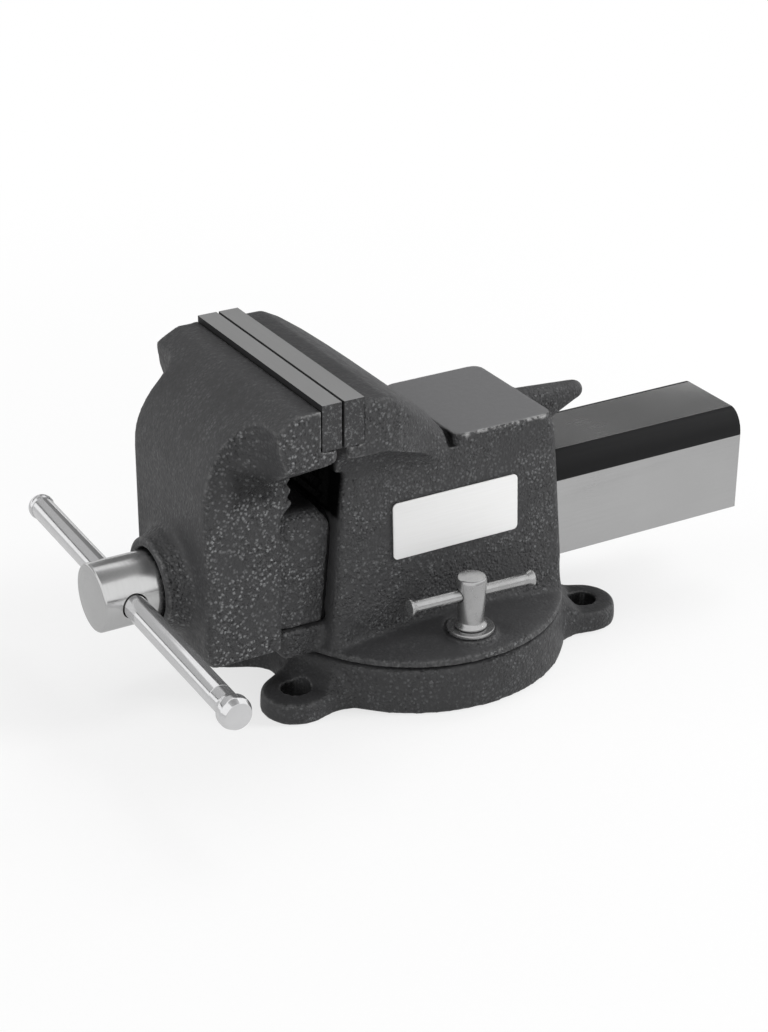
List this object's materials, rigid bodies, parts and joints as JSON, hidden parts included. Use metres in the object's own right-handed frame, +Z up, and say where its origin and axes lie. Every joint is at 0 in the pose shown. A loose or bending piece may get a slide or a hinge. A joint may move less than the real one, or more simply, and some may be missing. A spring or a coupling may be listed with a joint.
{
  "type": "swivel bench vise",
  "caption": "Cast bench vise with flat jaws over pipe jaws, an anvil, a horn, a channel slide, a sliding T-handle and a swivel base held by T-bar lock screws.",
  "frame": {"origin": "the swivel axis on the underside of the base", "axes": "+Z up along the swivel axis, out of the anvil face; -Y is the front, where the handle is, and the slide runs back along +Y; +X is the side that carries the label plate"},
  "size_m": [0.1796, 0.2853, 0.1353],
  "materials": {
    "black_casting": "rough black paint on a sand casting",
    "jaw_steel": "ground and serrated",
    "screw_steel": "black oxide",
    "slide_steel": "bright drawn",
    "spindle_steel": "turned bright",
    "handle_plating": "chrome plated",
    "zinc_plating": "zinc plated",
    "spring_steel": "oiled spring wire",
    "bronze": "plain turned",
    "label_metal": "white coated, bare"
  },
  "bodies": {
    "base": {"swivel_base": "black_casting"},
    "turret": {"vise_body": "black_casting", "rear_jaw_plate": "jaw_steel", "rear_jaw_screw_left": "screw_steel", "rear_jaw_screw_right": "screw_steel", "spindle_nut": "screw_steel", "nut_bolt": "zinc_plating", "nut_washer": "zinc_plating", "label_plate": "label_metal", "lock_washer_near": "zinc_plating", "lock_washer_far": "zinc_plating", "lock_tee_nut_near": "screw_steel", "lock_tee_nut_far": "screw_steel"},
    "jaw": {"front_jaw": "black_casting", "front_jaw_plate": "jaw_steel", "front_jaw_screw_left": "screw_steel", "front_jaw_screw_right": "screw_steel", "slide_bar": "slide_steel", "slide_pin_left": "screw_steel", "slide_pin_right": "screw_steel", "thrust_washer": "bronze", "retaining_washer_front": "zinc_plating", "retaining_spring": "spring_steel"},
    "spindle": {"spindle": "spindle_steel", "retaining_washer_rear": "zinc_plating", "retaining_pin": "screw_steel"},
    "handle": {"handle_bar": "handle_plating", "handle_knob_near": "handle_plating", "handle_knob_far": "handle_plating"},
    "near_lock": {"lock_screw_near": "zinc_plating"},
    "near_lock_bar": {"lock_bar_near": "zinc_plating"},
    "far_lock": {"lock_screw_far": "zinc_plating"},
    "far_lock_bar": {"lock_bar_far": "zinc_plating"}
  },
  "joints": [
    {"name": "swivel", "type": "hinge", "parent": "base", "child": "turret", "pos_m": [0, 0, 0.0194], "axis": [0, 0, 1], "continuous": true},
    {"name": "jaw_slide", "type": "slide", "parent": "turret", "child": "jaw", "axis": [0, -1, 0], "range_m": [0, 0.1]},
    {"name": "spindle_turn", "type": "hinge", "parent": "jaw", "child": "spindle", "pos_m": [0, -0.1, 0.0534], "axis": [0, -1, 0], "range_deg": [0, 7200]},
    {"name": "handle_slide", "type": "slide", "parent": "spindle", "child": "handle", "axis": [0.9994, 0, -0.0349], "range_m": [-0.069, 0.06]},
    {"name": "lock_turn_near", "type": "hinge", "parent": "turret", "child": "near_lock", "pos_m": [0.0467, 0, 0.03], "axis": [0, 0, 1], "range_deg": [-11, 15]},
    {"name": "lock_bar_slide_near", "type": "slide", "parent": "near_lock", "child": "near_lock_bar", "axis": [0.0384, 0.9993, 0], "range_m": [-0.0186, 0.0186]},
    {"name": "lock_turn_far", "type": "hinge", "parent": "turret", "child": "far_lock", "pos_m": [-0.0467, 0, 0.03], "axis": [0, 0, 1], "range_deg": [-15, 11]},
    {"name": "lock_bar_slide_far", "type": "slide", "parent": "far_lock", "child": "far_lock_bar", "axis": [-0.0384, 0.9993, 0], "range_m": [-0.0186, 0.0186]}
  ],
  "couplings": [
    {"joint": "jaw_slide", "follows": "spindle_turn", "m_per_rad": 0.00079577}
  ]
}
